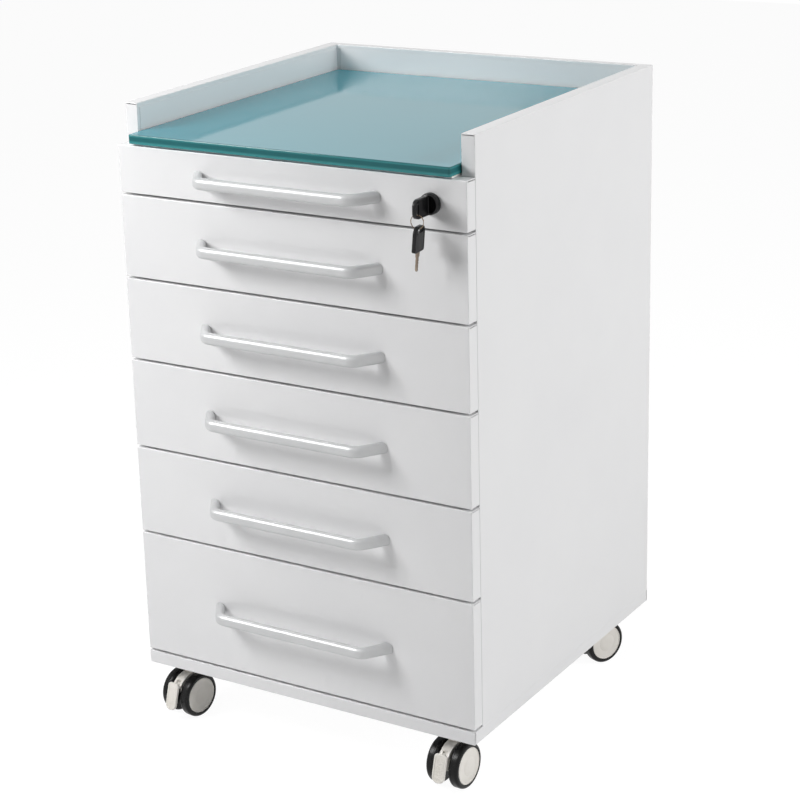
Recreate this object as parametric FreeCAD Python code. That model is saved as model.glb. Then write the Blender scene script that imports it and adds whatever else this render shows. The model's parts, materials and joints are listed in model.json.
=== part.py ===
import FreeCAD, Part
import math
import os

from FreeCAD import Vector

# Mobile dental cabinet with six drawers on four twin-wheel casters.
# Millimetres. X runs to the right, Y from the drawer fronts to the back, Z up.
# The origin is on the floor, under the middle of the whole object's outline.

# Cabinet body
cabinet_width = 500.0
cabinet_depth = 500.0
sheet = 1.2
bend_radius = 1.0
base_height = 17.5
base_lip = 20.0
side_thickness = 18.0
back_thickness = 13.0
rim_above_glass = 35.0
reveal_inset = 5.0
reveal_width = 0.8
reveal_depth = 0.6
cap_seam = 1.0

# Drawers, listed from the top one down
front_heights = [61.0, 106.5, 106.5, 117.0, 117.0, 168.5]
front_gap = 3.0
front_thickness = 19.0
front_return = 14.0
corner_seam = 1.0
base_seam = 1.5
panel_gap = 1.0
tray_depth = 450.0
tray_sheet = 1.0
tray_rise = 8.0
tray_drop = 12.0

# Telescopic runners, three members on each side of a drawer, as long as its tray
rail_height = 35.0
rail_space = 12.7
rail_sheet = 1.2
rail_gap = 0.5
rail_lip = 3.0
outer_reach = 9.0
middle_reach = 10.6
inner_reach = 8.3
rail_setback = 2.0
rail_rise = 20.0

# Bow handles
handle_spacing = 256.0
handle_projection = 30.0
handle_slope_run = 20.0
handle_bend = 14.0
handle_height = 15.0
handle_thickness = 12.0
handle_corner = 5.4

# Glass top, its strips and the deck under it
glass_thickness = 12.0
glass_overhang = 4.0
glass_clearance = 1.5
glass_edge = 1.2
strip_thickness = 1.2
strip_width = 10.0
strip_inset = 3.0
strip_end_inset = 8.0
deck_over_front = 0.6
deck_flange = 8.0
deck_nose_inset = 3.0

# Cam lock
lock_from_side = 47.5
rosette_radius = 13.0
rosette_height = 7.0
rosette_edge = 2.5
lock_body_radius = 8.0
lock_body_length = 22.0
lock_hole_clearance = 0.2
plug_radius = 5.5
plug_clearance = 0.08
plug_recess = 0.5
plug_tail = 2.0
cam_thickness = 2.0
cam_length = 27.0
cam_width = 12.0
nut_radius = 12.5
nut_thickness = 4.0

# Key and its ring
bow_length = 31.0
bow_width = 23.0
bow_thickness = 4.5
bow_round = 8.0
bow_root_round = 2.5
bow_stand_off = 1.0
bow_edge = 0.75
key_hole_radius = 2.2
key_hole_from_end = 7.0
key_hole_offset = 5.5
blade_thickness = 2.0
blade_width = 4.6
blade_length = 24.0
shoulder_width = 7.0
shoulder_length = 6.5
keyway_clearance = 0.1
keyway_end_clearance = 1.0
ring_radius = 8.4
ring_wire_radius = 0.75
hang_clearance = 0.5

# Casters
caster_height = 75.0
caster_inset_side = 45.0
caster_inset_end = 42.0
plate_size = 60.0
plate_thickness = 2.5
screw_spacing = 46.0
screw_radius = 2.4
screw_length = 10.0
screw_head_radius = 4.2
screw_head_height = 2.4
screw_hole_clearance = 0.2
kingpin_radius = 5.0
kingpin_length = 22.0
running_clearance = 0.05
boss_radius = 18.0
boss_gap = 0.5
caster_trail = 16.0
wheel_radius = 30.0
tyre_gap_half = 9.5
tyre_outer_half = 23.2
tyre_inner_radius = 22.0
tyre_shoulder = 4.0
wheel_top_clearance = 0.8
cap_radius = 24.0
cap_outer_half = 24.0
cap_rim = 1.2
cap_step = 2.5
cap_dome_radius = 15.0
axle_radius = 3.0
axle_half = 20.0
hood_half = 7.0
hood_radius = 28.5
hood_floor = 20.0
hood_front_floor = 44.0
hood_front_cut = 10.0
neck_front = 14.0
pedal_half = 9.1
pedal_thickness = 4.0
pedal_top_out = 29.5
pedal_top_height = 53.0
pedal_foot_out = 39.5
pedal_foot_height = 17.0
pedal_corner = 4.0
pedal_foot_corner = 8.2
tongue_half = 3.0
tongue_clearance = 0.2
tongue_height = 7.0
pedal_pin_radius = 1.5
pedal_pin_out = 17.0
pedal_pin_height = 46.0

# Each caster's swivel angle as the cabinet stands, in degrees
swivel_angles = {"front_left": 8.0, "front_right": 3.0, "rear_left": -20.0, "rear_right": 24.0}
braked_casters = ("front_left", "front_right")

# How far the moving pieces go, where nothing else sets it
key_travel = 24.0
pedal_swing = 12.0

# One overrun serves every cut, and a run shorter than the least length is left out
overrun = 5.0
least_length = 0.001

# A full-extension drawer comes out by the whole length of its runners
rail_length = tray_depth
drawer_travel = rail_length

# Heights above the floor
base_bottom = caster_height
base_top = base_bottom + base_height
stack_height = sum(front_heights) + front_gap * len(front_heights)
fronts_top = base_top + stack_height
deck_bottom = fronts_top + deck_over_front
deck_top = deck_bottom + sheet
glass_bottom = deck_top + strip_thickness
glass_top_z = glass_bottom + glass_thickness
total_height = glass_top_z + rim_above_glass

# The key in the lock sets how far the object reaches forward
key_outer_end = rosette_height + bow_stand_off + bow_length
key_hole_out = key_outer_end - key_hole_from_end
hang_offset = key_hole_radius - ring_wire_radius - hang_clearance

# Planes across the cabinet
half_width = cabinet_width / 2
front_y = (key_outer_end - cabinet_depth) / 2
front_back_y = front_y + front_thickness
panel_front_y = front_back_y + panel_gap
rear_y = front_y + cabinet_depth
back_face_y = rear_y - back_thickness
side_face_x = half_width - side_thickness

# The lock and the pivot of the key ring
lock_x = half_width - lock_from_side
lock_z = fronts_top - front_heights[0] / 2
key_hole_y = front_y - key_hole_out
key_hole_z = lock_z - key_hole_offset
ring_top_z = key_hole_z - hang_offset
ring_bottom_z = ring_top_z - 2 * ring_radius

# The casters' axles
axle_z = wheel_radius
boss_top = caster_height - plate_thickness - boss_gap
boss_bottom = 2 * wheel_radius + wheel_top_clearance


def box(x0, x1, y0, y1, z0, z1):
    """A block between three pairs of planes."""
    return Part.makeBox(x1 - x0, y1 - y0, z1 - z0, Vector(x0, y0, z0))


def on_side(side, near, far):
    """The low and high X of a stretch, from its distances to the middle; side is -1 or 1."""
    return sorted((side * near, side * far))


def fillet_where(shape, radius, wanted):
    """Round the edges whose middle point passes a test."""
    edges = [edge for edge in shape.Edges if wanted(edge.CenterOfMass)]
    return shape.makeFillet(radius, edges)


def cylinder_x(x0, x1, y, z, radius):
    """A cylinder along X."""
    return Part.makeCylinder(radius, x1 - x0, Vector(x0, y, z), Vector(1, 0, 0))


def cylinder_y(y0, y1, x, z, radius):
    """A cylinder along Y."""
    return Part.makeCylinder(radius, y1 - y0, Vector(x, y0, z), Vector(0, 1, 0))


def cylinder_z(z0, z1, x, y, radius):
    """An upright cylinder."""
    return Part.makeCylinder(radius, z1 - z0, Vector(x, y, z0))


def corner_cut(before, corner, after, radius):
    """Where an arc of a given radius leaves and meets the two lines at a corner."""
    to_before = (before - corner).normalize()
    to_after = (after - corner).normalize()
    half_angle = to_before.getAngle(to_after) / 2
    reach = radius / math.tan(half_angle)
    inward = (to_before + to_after).normalize()
    centre = corner + inward * (radius / math.sin(half_angle))
    return corner + to_before * reach, centre - inward * radius, corner + to_after * reach


def rounded_line(points, radii, closed=False):
    """Straight runs through the points, with an arc at each corner that has a radius."""
    count = len(points)
    joints = []
    for index, (point, radius) in enumerate(zip(points, radii)):
        if radius:
            before = points[index - 1]
            after = points[(index + 1) % count]
            joints.append(corner_cut(before, point, after, radius))
        else:
            joints.append((point, None, point))
    edges = []
    for index, (start, middle, end) in enumerate(joints):
        if middle is not None:
            edges.append(Part.Arc(start, middle, end).toShape())
        if index < count - 1 or closed:
            following = joints[(index + 1) % count][0]
            if (following - end).Length > least_length:
                edges.append(Part.LineSegment(end, following).toShape())
    return Part.Wire(edges)


def plate_from(points, radii, direction):
    """A flat plate with a rounded outline, as thick as its direction is long."""
    wire = rounded_line(points, radii, closed=True)
    return Part.Face(wire).extrude(direction)


def drawer_spans():
    """The bottom and top of each drawer front, from the top drawer down."""
    spans = []
    top = fronts_top
    for height in front_heights:
        spans.append((top - height, top))
        top -= height + front_gap
    return spans


def base_pan():
    """The floor of the cabinet: a pan with its rim turned in, drilled for the casters."""
    pan = box(-half_width, half_width, front_y, rear_y, base_bottom, base_top)
    pan = pan.makeFillet(bend_radius, pan.Edges)
    inside = box(
        -half_width + sheet,
        half_width - sheet,
        front_y + sheet,
        rear_y - sheet,
        base_bottom + sheet,
        base_top - sheet,
    )
    mouth = box(
        -half_width + base_lip,
        half_width - base_lip,
        front_y + base_lip,
        rear_y - base_lip,
        base_bottom + sheet,
        base_top + overrun,
    )
    pan = pan.cut(inside).cut(mouth)
    seam_bottom = base_bottom + sheet
    for side in (-1, 1):
        x0, x1 = on_side(side, half_width - sheet, half_width + overrun)
        for seam_y in (front_y + sheet, rear_y - sheet - base_seam):
            seam_end = seam_y + base_seam
            pan = pan.cut(box(x0, x1, seam_y, seam_end, seam_bottom, base_top + overrun))
    hole_radius = screw_radius + screw_hole_clearance
    for x, y in screw_places():
        pan = pan.cut(cylinder_z(base_bottom - overrun, base_bottom + overrun, x, y, hole_radius))
    return pan


def side_panel(side):
    """A double-skinned side that stands above the glass as a rim; side is -1 or 1."""
    x0, x1 = on_side(side, side_face_x, half_width)
    panel = box(x0, x1, panel_front_y, rear_y, base_top, total_height)
    panel = fillet_where(panel, bend_radius, lambda p: p.z > base_top)
    hollow = box(
        x0 + sheet,
        x1 - sheet,
        panel_front_y + sheet,
        rear_y - sheet,
        base_top - overrun,
        total_height - sheet,
    )
    panel = panel.cut(hollow)
    seam = box(
        x0 + sheet,
        x1 - sheet,
        panel_front_y - overrun,
        panel_front_y + 2 * sheet,
        total_height - sheet - cap_seam,
        total_height - sheet,
    )
    panel = panel.cut(seam)
    groove_x0, groove_x1 = on_side(side, side_face_x - overrun, side_face_x + reveal_depth)
    top = total_height - reveal_inset
    along = box(
        groove_x0,
        groove_x1,
        panel_front_y + reveal_inset,
        back_face_y,
        top - reveal_width,
        top,
    )
    upright = box(
        groove_x0,
        groove_x1,
        panel_front_y + reveal_inset,
        panel_front_y + reveal_inset + reveal_width,
        glass_top_z,
        top,
    )
    return panel.cut(along).cut(upright)


def back_panel():
    """The double-skinned back between the sides, with the same rim above the glass."""
    panel = box(-side_face_x, side_face_x, back_face_y, rear_y, base_top, total_height)
    panel = fillet_where(panel, bend_radius, lambda p: p.z > total_height - sheet and abs(p.x) < sheet)
    hollow = box(
        -side_face_x + sheet,
        side_face_x - sheet,
        back_face_y + sheet,
        rear_y - sheet,
        base_top - overrun,
        total_height - sheet,
    )
    panel = panel.cut(hollow)
    top = total_height - reveal_inset
    groove_y0 = back_face_y - overrun
    groove_y1 = back_face_y + reveal_depth
    edge_x = side_face_x - reveal_inset
    panel = panel.cut(box(-edge_x, edge_x, groove_y0, groove_y1, top - reveal_width, top))
    for side in (-1, 1):
        x0, x1 = on_side(side, edge_x - reveal_width, edge_x)
        panel = panel.cut(box(x0, x1, groove_y0, groove_y1, glass_top_z, top))
    return panel


def top_deck():
    """The sheet that carries the glass, with flanges turned down and a nose over drawer 1."""
    deck = box(-side_face_x, side_face_x, panel_front_y, back_face_y, deck_bottom, deck_top)
    nose_x = side_face_x - deck_nose_inset
    nose_y = front_y + deck_nose_inset
    deck = deck.fuse(box(-nose_x, nose_x, nose_y, panel_front_y, deck_bottom, deck_top))
    flange_bottom = deck_bottom - deck_flange
    deck = deck.fuse(
        box(
            -side_face_x,
            side_face_x,
            panel_front_y,
            panel_front_y + sheet,
            flange_bottom,
            deck_top,
        )
    )
    deck = deck.fuse(
        box(-side_face_x, side_face_x, back_face_y - sheet, back_face_y, flange_bottom, deck_top)
    )
    for side in (-1, 1):
        x0, x1 = on_side(side, side_face_x - sheet, side_face_x)
        deck = deck.fuse(box(x0, x1, panel_front_y, back_face_y, flange_bottom, deck_top))
    return deck.removeSplitter()


def glass_plate():
    """The back-painted glass, with every edge ground."""
    half = side_face_x - glass_clearance
    plate = box(
        -half,
        half,
        front_y - glass_overhang,
        back_face_y - glass_clearance,
        glass_bottom,
        glass_top_z,
    )
    return plate.makeChamfer(glass_edge, plate.Edges)


def glass_strips():
    """Two soft strips between the deck and the glass."""
    strips = []
    outer = side_face_x - strip_inset
    for side in (-1, 1):
        x0, x1 = on_side(side, outer - strip_width, outer)
        strips.append(
            box(
                x0,
                x1,
                front_y + deck_nose_inset,
                back_face_y - strip_end_inset,
                deck_top,
                glass_bottom,
            )
        )
    return Part.makeCompound(strips)


def channel(side, web_start, reach, direction, half_height, y0, z, lip=0.0):
    """One runner member: a channel whose web is web_start in from the side panel.

    The flanges reach from the web towards the drawer (direction 1) or back (-1).
    """
    def slab(depth_a, depth_b, low, high):
        """A flat strip of the member between two depths and two heights."""
        x0, x1 = on_side(side, side_face_x - depth_a, side_face_x - depth_b)
        return box(x0, x1, y0, y0 + rail_length, z + low, z + high)

    end = web_start + direction * reach
    member = slab(web_start, web_start + direction * rail_sheet, -half_height, half_height)
    member = member.fuse(slab(web_start, end, half_height - rail_sheet, half_height))
    member = member.fuse(slab(web_start, end, -half_height, rail_sheet - half_height))
    if lip:
        lip_start = end - direction * rail_sheet
        member = member.fuse(slab(lip_start, end, half_height - rail_sheet - lip, half_height))
        member = member.fuse(slab(lip_start, end, -half_height, rail_sheet + lip - half_height))
    return member.removeSplitter()


def runner_pair(member, y0, z):
    """The left and right members of one drawer's runners: outer, middle or inner."""
    outer_half = rail_height / 2
    middle_half = outer_half - rail_sheet - rail_lip - rail_gap
    inner_half = middle_half - rail_sheet - rail_gap
    pair = []
    for side in (-1, 1):
        if member == "outer":
            pair.append(channel(side, 0.0, outer_reach, 1, outer_half, y0, z, rail_lip))
        elif member == "middle":
            start = 2 * rail_sheet
            pair.append(channel(side, start, middle_reach - start, 1, middle_half, y0, z))
        else:
            pair.append(channel(side, rail_space, inner_reach, -1, inner_half, y0, z))
    return pair


def drawer_front(bottom, top, with_lock):
    """A folded front, open at the back inside its turned-in returns."""
    pan = box(-half_width, half_width, front_y, front_back_y, bottom, top)
    pan = fillet_where(pan, bend_radius, lambda p: p.y < front_back_y - sheet)
    inside = box(
        -half_width + sheet,
        half_width - sheet,
        front_y + sheet,
        front_back_y - sheet,
        bottom + sheet,
        top - sheet,
    )
    window = box(
        -half_width + front_return,
        half_width - front_return,
        front_y + sheet,
        front_back_y + overrun,
        bottom + front_return,
        top - front_return,
    )
    pan = pan.cut(inside).cut(window)
    seam_top = top - sheet
    for side in (-1, 1):
        x0, x1 = on_side(side, half_width - sheet, half_width + overrun)
        seam_start = front_y + sheet + bend_radius
        pan = pan.cut(box(x0, x1, seam_start, front_back_y, seam_top - corner_seam, seam_top))
    if with_lock:
        hole = lock_body_radius + lock_hole_clearance
        pan = pan.cut(cylinder_y(front_y - overrun, front_back_y, lock_x, lock_z, hole))
    return pan


def drawer_tray(bottom, top, with_lock):
    """The box of a drawer, open at the top."""
    half = side_face_x - rail_space
    low = bottom + tray_rise
    high = top - tray_drop
    tray = box(-half, half, front_back_y, front_back_y + tray_depth, low, high)
    inside = box(
        -half + tray_sheet,
        half - tray_sheet,
        front_back_y + tray_sheet,
        front_back_y + tray_depth - tray_sheet,
        low + tray_sheet,
        high + overrun,
    )
    tray = tray.cut(inside)
    if with_lock:
        hole = lock_body_radius + lock_hole_clearance
        mouth_end = front_back_y + 2 * tray_sheet
        tray = tray.cut(cylinder_y(front_y, mouth_end, lock_x, lock_z, hole))
    return tray


def drawer_handle(bottom, top):
    """A bow handle: an oval bar with a sloped leg at each end, cut off flush with the front."""
    middle = (bottom + top) / 2
    half = handle_spacing / 2
    slope = Vector(handle_slope_run, -handle_projection, 0)
    behind = slope * (handle_thickness / handle_projection)
    left_foot = Vector(-half, front_y, middle)
    left_bend = left_foot + slope
    right_foot = Vector(half, front_y, middle)
    mirrored = Vector(-slope.x, slope.y, 0)
    right_bend = right_foot + mirrored
    mirrored_behind = Vector(-behind.x, behind.y, 0)
    points = [left_foot - behind, left_bend, right_bend, right_foot - mirrored_behind]
    path = rounded_line(points, [0, handle_bend, handle_bend, 0])
    along = Vector(slope).normalize()
    across = Vector(-along.y, along.x, 0) * (handle_thickness / 2)
    up = Vector(0, 0, handle_height / 2)
    start = points[0]
    corners = [start + across + up, start - across + up, start - across - up, start + across - up]
    section = rounded_line(corners, [handle_corner] * len(corners), closed=True)
    bar = path.makePipeShell([section], True, False)
    reach = half + handle_thickness + abs(behind.x)
    waste = box(
        -reach,
        reach,
        front_y,
        front_y + handle_projection,
        middle - handle_height,
        middle + handle_height,
    )
    return bar.cut(waste)


def lock_housing():
    """The black lock body: a domed rosette on the front and a round body through it."""
    rosette = cylinder_y(front_y - rosette_height, front_y, lock_x, lock_z, rosette_radius)
    rosette = fillet_where(rosette, rosette_edge, lambda p: p.y < front_y - rosette_height + sheet)
    body = cylinder_y(front_y, front_y + lock_body_length, lock_x, lock_z, lock_body_radius)
    bore = cylinder_y(
        front_y - rosette_height - overrun,
        front_y + lock_body_length + overrun,
        lock_x,
        lock_z,
        plug_radius + plug_clearance,
    )
    return rosette.fuse(body).cut(bore).removeSplitter()


def lock_nut():
    """The hexagon nut that holds the lock against the inside of the drawer front."""
    y0 = front_y + sheet
    corners = []
    for index in range(6):
        turn = math.radians(60 * index)
        corners.append(
            Vector(lock_x + nut_radius * math.cos(turn), y0, lock_z + nut_radius * math.sin(turn))
        )
    nut = plate_from(corners, [0] * len(corners), Vector(0, nut_thickness, 0))
    bore = lock_body_radius + running_clearance
    return nut.cut(cylinder_y(y0 - overrun, y0 + nut_thickness + overrun, lock_x, lock_z, bore))


def lock_plug():
    """The plug that turns in the lock body, with an upright keyway."""
    plug_front = front_y - rosette_height + plug_recess
    plug_back = front_y + lock_body_length + plug_tail
    plug = cylinder_y(plug_front, plug_back, lock_x, lock_z, plug_radius)
    half_wide = blade_thickness / 2 + keyway_clearance
    half_tall = shoulder_width / 2 + keyway_clearance
    tip = front_y - key_outer_end + bow_length + blade_length
    keyway = box(
        lock_x - half_wide,
        lock_x + half_wide,
        plug_front - overrun,
        tip + keyway_end_clearance,
        lock_z - half_tall,
        lock_z + half_tall,
    )
    return plug.cut(keyway)


def lock_cam():
    """The cam on the plug's tail, lying level while the lock is open."""
    y0 = front_y + lock_body_length + plug_tail
    half = cam_width / 2
    tip_x = lock_x - cam_length
    points = [
        Vector(lock_x + half, y0, lock_z - half),
        Vector(lock_x + half, y0, lock_z + half),
        Vector(tip_x, y0, lock_z + half),
        Vector(tip_x, y0, lock_z - half),
    ]
    return plate_from(points, [half / 2] * len(points), Vector(0, cam_thickness, 0))


def key_blank():
    """A key with a moulded bow, pointing straight down.

    The ring's hole is at the origin, near one upper corner of the bow.
    """
    top = key_hole_from_end
    bottom = top - bow_length
    left = -bow_width / 2 - key_hole_offset
    right = left + bow_width
    centre = (left + right) / 2
    half = bow_thickness / 2
    outline = [
        Vector(-half, left, top),
        Vector(-half, right, top),
        Vector(-half, right, bottom),
        Vector(-half, left, bottom),
    ]
    radii = [bow_round, bow_round, bow_root_round, bow_root_round]
    bow = plate_from(outline, radii, Vector(bow_thickness, 0, 0))
    bow = fillet_where(bow, bow_edge, lambda p: abs(p.x) > half - bow_edge / 2)
    bow = bow.cut(cylinder_x(-bow_thickness, bow_thickness, 0, 0, key_hole_radius))
    blade_half = blade_thickness / 2
    root = bottom + bow_root_round
    shoulder = box(
        -blade_half,
        blade_half,
        centre - shoulder_width / 2,
        centre + shoulder_width / 2,
        bottom - shoulder_length,
        root,
    )
    tip = bottom - blade_length
    bevel = blade_width / 3
    blade_outline = [
        Vector(-blade_half, centre - blade_width / 2, root),
        Vector(-blade_half, centre + blade_width / 2, root),
        Vector(-blade_half, centre + blade_width / 2, tip),
        Vector(-blade_half, centre - blade_width / 2, tip),
    ]
    blade = plate_from(blade_outline, [0, 0, bevel, bevel], Vector(blade_thickness, 0, 0))
    return bow.fuse(shoulder).fuse(blade)


def key_in_lock():
    """The key in the plug, with its hole on the lower side."""
    key = key_blank()
    key.rotate(Vector(0, 0, 0), Vector(0, 0, 1), 180)
    key.rotate(Vector(0, 0, 0), Vector(1, 0, 0), 90)
    key.translate(Vector(lock_x, key_hole_y, key_hole_z))
    return key


def key_ring():
    """The wire ring that hangs from the key in the lock."""
    centre = Vector(lock_x, key_hole_y, (ring_top_z + ring_bottom_z) / 2)
    return Part.makeTorus(ring_radius, ring_wire_radius, centre, Vector(0, 1, 0))


def caster_places():
    """The swivel axis of each caster."""
    x = half_width - caster_inset_side
    front = front_y + caster_inset_end
    rear = rear_y - caster_inset_end
    return {
        "front_left": (-x, front),
        "front_right": (x, front),
        "rear_left": (-x, rear),
        "rear_right": (x, rear),
    }


def screw_places():
    """The four screws of each caster plate."""
    half = screw_spacing / 2
    places = []
    for x, y in caster_places().values():
        for dx in (-half, half):
            for dy in (-half, half):
                places.append((x + dx, y + dy))
    return places


def caster_plate(x, y):
    """A square mounting plate and the kingpin riveted to it."""
    half = plate_size / 2
    low = caster_height - plate_thickness
    plate = box(x - half, x + half, y - half, y + half, low, caster_height)
    hole_radius = screw_radius + screw_hole_clearance
    for dx in (-screw_spacing / 2, screw_spacing / 2):
        for dy in (-screw_spacing / 2, screw_spacing / 2):
            plate = plate.cut(
                cylinder_z(low - overrun, caster_height + overrun, x + dx, y + dy, hole_radius)
            )
    pin = cylinder_z(low - kingpin_length, low, x, y, kingpin_radius)
    return [plate, pin]


def caster_screw(x, y):
    """One screw up through a caster plate into the base."""
    low = caster_height - plate_thickness
    head = cylinder_z(low - screw_head_height, low, x, y, screw_head_radius)
    shank = cylinder_z(low, low + screw_length, x, y, screw_radius)
    return head.fuse(shank)


def caster_fork(braked):
    """The swivel body between two wheels, trailing towards -Y from its own origin."""
    axle_y = -caster_trail
    hood = cylinder_x(-hood_half, hood_half, axle_y, axle_z, hood_radius)
    wide = hood_half + overrun
    low_cut = box(
        -wide, wide, axle_y - wheel_radius, axle_y + wheel_radius, 0, hood_floor
    )
    front_cut = box(
        -wide,
        wide,
        axle_y - wheel_radius,
        axle_y - hood_front_cut,
        0,
        hood_front_floor,
    )
    hood = hood.cut(low_cut).cut(front_cut)
    neck = box(-hood_half, hood_half, axle_y, neck_front, hood_front_floor, boss_bottom)
    boss = cylinder_z(boss_bottom, boss_top, 0, 0, boss_radius)
    fork = hood.fuse(neck).fuse(boss).removeSplitter()
    pin_bottom = caster_height - plate_thickness - kingpin_length
    fork = fork.cut(
        cylinder_z(
            pin_bottom - boss_gap,
            boss_top + overrun,
            0,
            0,
            kingpin_radius + running_clearance,
        )
    )
    axle_hole = axle_radius + running_clearance
    fork = fork.cut(cylinder_x(-wide, wide, axle_y, axle_z, axle_hole))
    if braked:
        pin_y = axle_y - pedal_pin_out
        slot_half = tongue_half + tongue_clearance
        slot_radius = tongue_height / 2 + tongue_clearance
        slot = cylinder_x(-slot_half, slot_half, pin_y, pedal_pin_height, slot_radius)
        slot = slot.fuse(
            box(
                -slot_half,
                slot_half,
                axle_y - wheel_radius,
                pin_y,
                hood_front_floor - overrun,
                boss_bottom,
            )
        )
        fork = fork.cut(slot)
        pin = cylinder_x(-hood_half, hood_half, pin_y, pedal_pin_height, pedal_pin_radius)
        fork = fork.fuse(pin)
    return fork


def brake_pedal():
    """The foot lever in front of the wheels, on a tongue that turns on the fork's pin."""
    axle_y = -caster_trail
    top = Vector(0, axle_y - pedal_top_out, pedal_top_height)
    foot = Vector(0, axle_y - pedal_foot_out, pedal_foot_height)
    along = (foot - top).normalize()
    inward = Vector(0, -along.z, along.y)
    corners = [
        top + Vector(-pedal_half, 0, 0),
        top + Vector(pedal_half, 0, 0),
        foot + Vector(pedal_half, 0, 0),
        foot + Vector(-pedal_half, 0, 0),
    ]
    pad = plate_from(
        corners,
        [pedal_corner, pedal_corner, pedal_foot_corner, pedal_foot_corner],
        inward * pedal_thickness,
    )
    pin = Vector(0, axle_y - pedal_pin_out, pedal_pin_height)
    half = tongue_height / 2
    pad_inner = top + along * tongue_height + inward * (pedal_thickness / 2)
    root_outline = [
        Vector(-tongue_half, pin.y, pin.z + half),
        Vector(-tongue_half, pin.y, pin.z - half),
        Vector(-tongue_half, pad_inner.y, pad_inner.z - half),
        Vector(-tongue_half, pad_inner.y, pad_inner.z + half),
    ]
    tongue = plate_from(root_outline, [0, 0, 0, 0], Vector(2 * tongue_half, 0, 0))
    knuckle = cylinder_x(-tongue_half, tongue_half, pin.y, pin.z, half)
    bore = cylinder_x(
        -hood_half, hood_half, pin.y, pin.z, pedal_pin_radius + running_clearance
    )
    return pad.fuse(tongue).fuse(knuckle).cut(bore)


def turned(points, axis_y):
    """A solid turned about the wheel axle from (radius, x) points; triples are arcs."""
    edges = []
    position = None
    for item in points:
        place = [Vector(x, axis_y, axle_z + radius) for radius, x in item]
        if position is not None and (place[0] - position).Length > least_length:
            edges.append(Part.LineSegment(position, place[0]).toShape())
        if len(place) == 3:
            edges.append(Part.Arc(place[0], place[1], place[2]).toShape())
        position = place[-1]
    first = Vector(points[0][0][1], axis_y, axle_z + points[0][0][0])
    edges.append(Part.LineSegment(position, first).toShape())
    face = Part.Face(Part.Wire(edges))
    return face.revolve(Vector(0, axis_y, axle_z), Vector(1, 0, 0), 360)


def quarter(centre_radius, centre_x, size, start, end):
    """The start, middle and end of an arc in a turned outline, with angles in degrees."""
    triple = []
    for angle in (start, (start + end) / 2, end):
        turn = math.radians(angle)
        triple.append(
            (centre_radius + size * math.cos(turn), centre_x + size * math.sin(turn))
        )
    return triple


def caster_tyre(side):
    """One rubber tyre with rounded shoulders; side is -1 or 1."""
    seat = cap_outer_half - cap_step
    outline = [
        [(tyre_inner_radius, tyre_gap_half)],
        quarter(wheel_radius - tyre_shoulder, tyre_gap_half + tyre_shoulder, tyre_shoulder, -90, 0),
        quarter(wheel_radius - tyre_shoulder, tyre_outer_half - tyre_shoulder, tyre_shoulder, 0, 90),
        [(cap_radius, tyre_outer_half)],
        [(cap_radius, seat)],
        [(tyre_inner_radius, seat)],
    ]
    return mirrored_turn(outline, side)


def caster_hub(side):
    """One hub with its domed cap, bored blind for the axle; side is -1 or 1."""
    seat = cap_outer_half - cap_step
    edge = cap_outer_half - cap_rim
    bore = axle_radius + running_clearance
    outline = [
        [(bore, tyre_gap_half)],
        [(tyre_inner_radius, tyre_gap_half)],
        [(tyre_inner_radius, seat)],
        [(cap_radius, seat)],
        [
            (cap_radius, edge),
            ((cap_radius + cap_dome_radius) / 2, cap_outer_half - cap_rim / 5),
            (cap_dome_radius, cap_outer_half),
        ],
        [(0, cap_outer_half)],
        [(0, axle_half)],
        [(bore, axle_half)],
    ]
    return mirrored_turn(outline, side)


def mirrored_turn(outline, side):
    """A turned solid on the right or the left of the caster."""
    solid = turned(outline, -caster_trail)
    if side < 0:
        solid = solid.mirror(Vector(0, 0, 0), Vector(1, 0, 0))
    return solid


def caster_axle():
    """The steel axle through the fork into both hubs."""
    return cylinder_x(-axle_half, axle_half, -caster_trail, axle_z, axle_radius)


def placed(shape, name):
    """A caster piece turned to its swivel angle and moved to its corner."""
    x, y = caster_places()[name]
    moved = shape.copy()
    moved.rotate(Vector(0, 0, 0), Vector(0, 0, 1), -swivel_angles[name])
    moved.translate(Vector(x, y, 0))
    return moved


def caster_pieces():
    """The forks, hubs, tyres and pedals of the four casters."""
    pieces = {}
    for name in caster_places():
        braked = name in braked_casters
        pieces["fork_" + name] = placed(caster_fork(braked), name)
        hubs = Part.makeCompound([caster_hub(-1), caster_hub(1), caster_axle()])
        pieces["hubs_" + name] = placed(hubs, name)
        pieces["tyres_" + name] = placed(Part.makeCompound([caster_tyre(-1), caster_tyre(1)]), name)
        if braked:
            pieces["pedal_" + name] = placed(brake_pedal(), name)
    return pieces


def drawer_pieces():
    """The pieces of the six drawers, and the runner members fixed to the cabinet."""
    pieces = {}
    fixed = []
    rail_y = front_back_y + rail_setback
    for index, (bottom, top) in enumerate(drawer_spans()):
        name = "drawer_%d_" % (index + 1)
        locked = index == 0
        rail_z = bottom + tray_rise + rail_rise
        pieces[name + "front"] = drawer_front(bottom, top, locked)
        pieces[name + "tray"] = drawer_tray(bottom, top, locked)
        pieces[name + "handle"] = drawer_handle(bottom, top)
        pieces[name + "inner_runners"] = Part.makeCompound(runner_pair("inner", rail_y, rail_z))
        pieces[name + "middle_runners"] = Part.makeCompound(runner_pair("middle", rail_y, rail_z))
        fixed.extend(runner_pair("outer", rail_y, rail_z))
    pieces["outer_runners"] = Part.makeCompound(fixed)
    return pieces


def cabinet_pieces():
    """The body of the cabinet with its glass top and caster plates."""
    plates = []
    for x, y in caster_places().values():
        plates.extend(caster_plate(x, y))
    screws = [caster_screw(x, y) for x, y in screw_places()]
    return {
        "base_pan": base_pan(),
        "side_panel_left": side_panel(-1),
        "side_panel_right": side_panel(1),
        "back_panel": back_panel(),
        "top_deck": top_deck(),
        "glass_strips": glass_strips(),
        "glass_top": glass_plate(),
        "caster_plates": Part.makeCompound(plates),
        "caster_screws": Part.makeCompound(screws),
    }


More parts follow.
